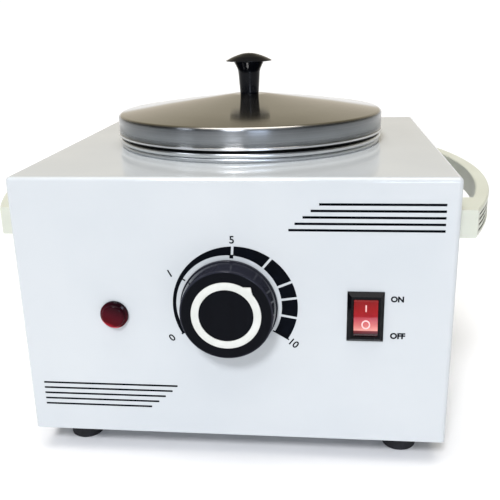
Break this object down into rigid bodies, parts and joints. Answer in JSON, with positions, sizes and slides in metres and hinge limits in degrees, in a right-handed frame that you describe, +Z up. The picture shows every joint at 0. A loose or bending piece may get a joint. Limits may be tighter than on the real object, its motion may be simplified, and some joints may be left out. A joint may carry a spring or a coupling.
{
  "type": "wax warmer",
  "caption": "Table-top wax warmer: square enamelled case with a round heated well, lift-out pot, steel lid with knob, dial thermostat, pilot lamp, rocker switch and side handles.",
  "frame": {"origin": "middle of the case on the plane that the feet stand on", "axes": "+X to the user's right, +Y from the dial to the back, +Z up"},
  "size_m": [0.218, 0.1856, 0.1609],
  "materials": {
    "case_enamel": "glossy white baked enamel",
    "base_steel": "galvanised sheet",
    "screw_steel": "zinc plated",
    "pot_aluminium": "spun, satin",
    "well_aluminium": "drawn, satin",
    "lid_steel": "spun, circular brushing",
    "knob_black": "glossy moulded phenolic",
    "ring_white": "moulded inlay",
    "lamp_red": "translucent red lens",
    "lamp_body": "natural nylon",
    "switch_black": "moulded nylon",
    "rocker_red": "translucent red",
    "handle_ivory": "moulded, ivory white",
    "foot_rubber": "moulded rubber",
    "heater_mica": "steel clad mica band",
    "jacket_fibre": "needled glass fibre",
    "moulded_dark": "phenolic",
    "terminal_brass": "bright",
    "copper_tube": "drawn copper",
    "block_white": "moulded nylon",
    "gland_black": "moulded nylon",
    "lead_sleeve": "glass fibre sleeving"
  },
  "bodies": {
    "housing": {"housing_shell": "case_enamel", "base_plate": "base_steel", "case_screws": "screw_steel", "foot_screws": "screw_steel", "foot_nuts": "screw_steel", "heating_well": "well_aluminium", "band_heater": "heater_mica", "heater_clamp_screw": "screw_steel", "heater_clamp_nut": "screw_steel", "heater_terminals": "terminal_brass", "insulation_jacket": "jacket_fibre", "heat_shield": "base_steel", "shield_spacers": "screw_steel", "shield_screws": "screw_steel", "shield_nuts": "screw_steel", "well_bolt": "screw_steel", "thermal_cutout": "moulded_dark", "cutout_strap": "base_steel", "strap_nut": "screw_steel", "thermostat_body": "moulded_dark", "thermostat_screws": "screw_steel", "thermostat_tabs": "terminal_brass", "sensor_bulb": "copper_tube", "bulb_clip": "base_steel", "capillary": "copper_tube", "pilot_lens": "lamp_red", "pilot_body": "lamp_body", "pilot_clip": "base_steel", "switch_body": "switch_black", "switch_tabs": "terminal_brass", "handle_screws": "screw_steel", "handle_washers": "screw_steel", "cord_gland": "gland_black", "gland_nut": "gland_black", "terminal_block": "block_white", "block_screw": "screw_steel", "block_clamps": "terminal_brass", "lead_live": "lead_sleeve", "lead_switched": "lead_sleeve", "lead_heater": "lead_sleeve", "lead_neutral": "lead_sleeve", "lamp_leads": "lead_sleeve", "handle_right": "handle_ivory", "handle_left": "handle_ivory", "foot_front_left": "foot_rubber", "foot_front_right": "foot_rubber", "foot_rear_left": "foot_rubber", "foot_rear_right": "foot_rubber"},
    "pot": {"wax_pot": "pot_aluminium"},
    "lid": {"lid_shell": "lid_steel", "lid_locating_ring": "lid_steel", "lid_knob": "knob_black", "lid_knob_washer": "screw_steel", "lid_knob_screw": "screw_steel"},
    "knob": {"thermostat_shaft": "screw_steel", "thermostat_knob": "knob_black", "knob_pointer_ring": "ring_white"},
    "rocker": {"switch_rocker": "rocker_red"}
  },
  "joints": [
    {"name": "pot_lift", "type": "slide", "parent": "housing", "child": "pot", "axis": [0, 0, 1], "range_m": [0, 0.12]},
    {"name": "lid_lift", "type": "slide", "parent": "pot", "child": "lid", "axis": [0, 0, 1], "range_m": [0, 0.12]},
    {"name": "thermostat_turn", "type": "hinge", "parent": "housing", "child": "knob", "pos_m": [-0.0005, -0.0825, 0.0692], "axis": [0, 1, 0], "range_deg": [-162.7, 81]},
    {"name": "rocker_press", "type": "hinge", "parent": "housing", "child": "rocker", "pos_m": [0.0524, -0.08, 0.0659], "axis": [1, 0, 0], "range_deg": [0, 16]}
  ]
}
